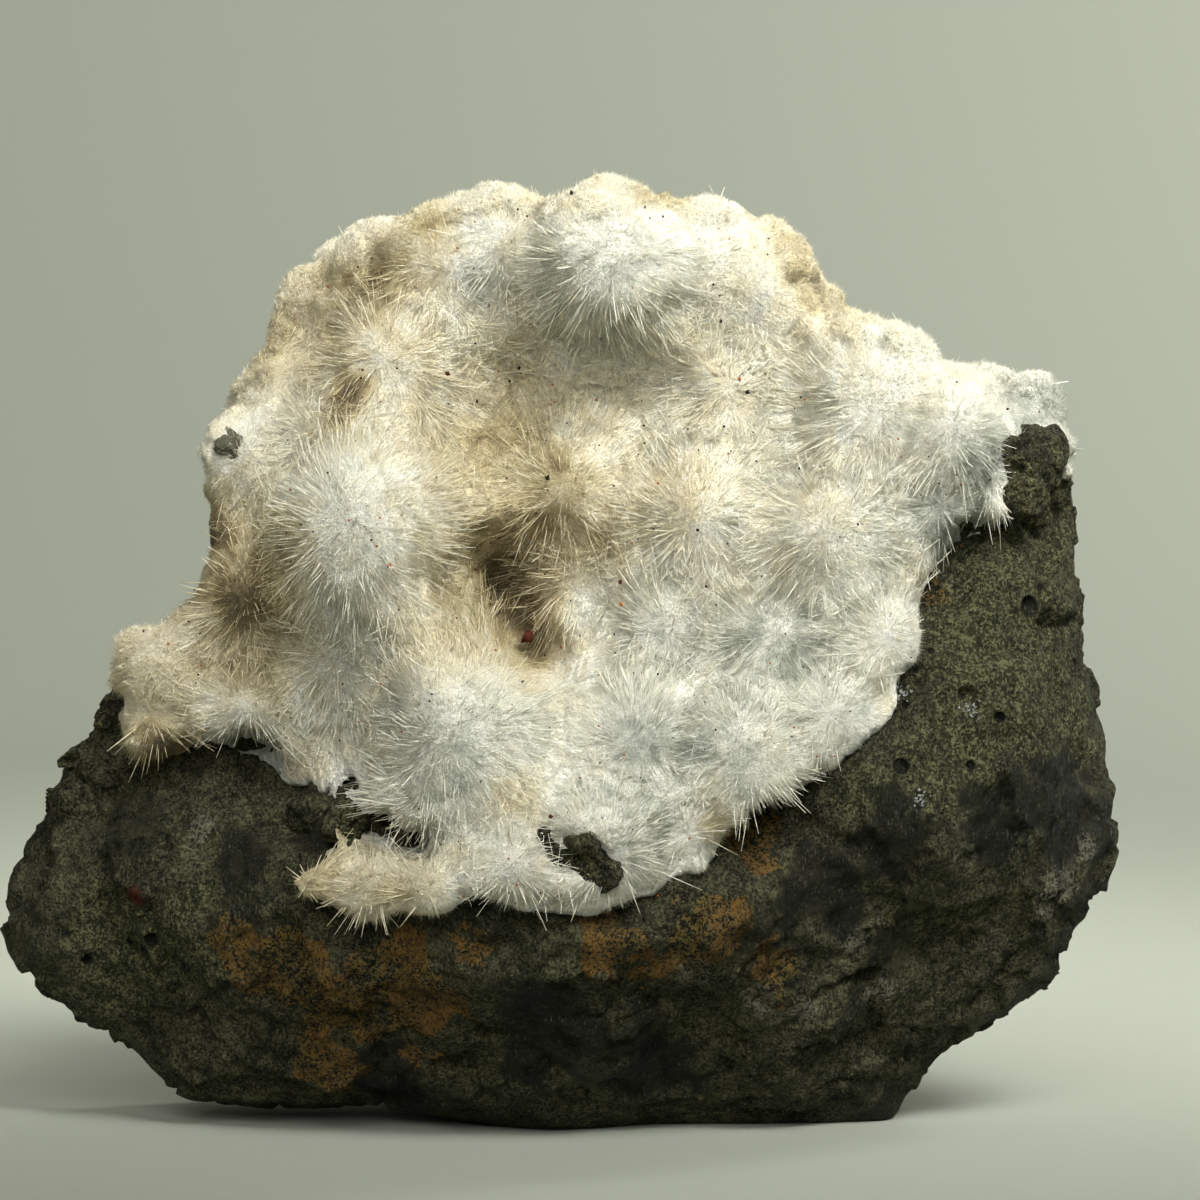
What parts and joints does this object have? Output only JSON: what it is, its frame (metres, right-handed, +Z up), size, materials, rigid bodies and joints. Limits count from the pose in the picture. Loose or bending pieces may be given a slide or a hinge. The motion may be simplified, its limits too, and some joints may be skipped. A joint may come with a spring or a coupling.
{
  "type": "okenite puffball",
  "caption": "Broken lump of dark basalt whose open vug is lined and topped with white radiating needle puffs grown together into one crust.",
  "frame": {"origin": "middle of the part's box in plan, at the flat break that the lump stands on", "axes": "+X to the right seen from the front, -Y towards the viewer out of the open vug, +Z up"},
  "size_m": [0.097, 0.0554, 0.0805],
  "materials": {
    "basalt": "matte",
    "okenite": "satin"
  },
  "bodies": {
    "root": {"basalt_matrix": "basalt", "okenite_crust": "okenite"}
  },
  "joints": []
}
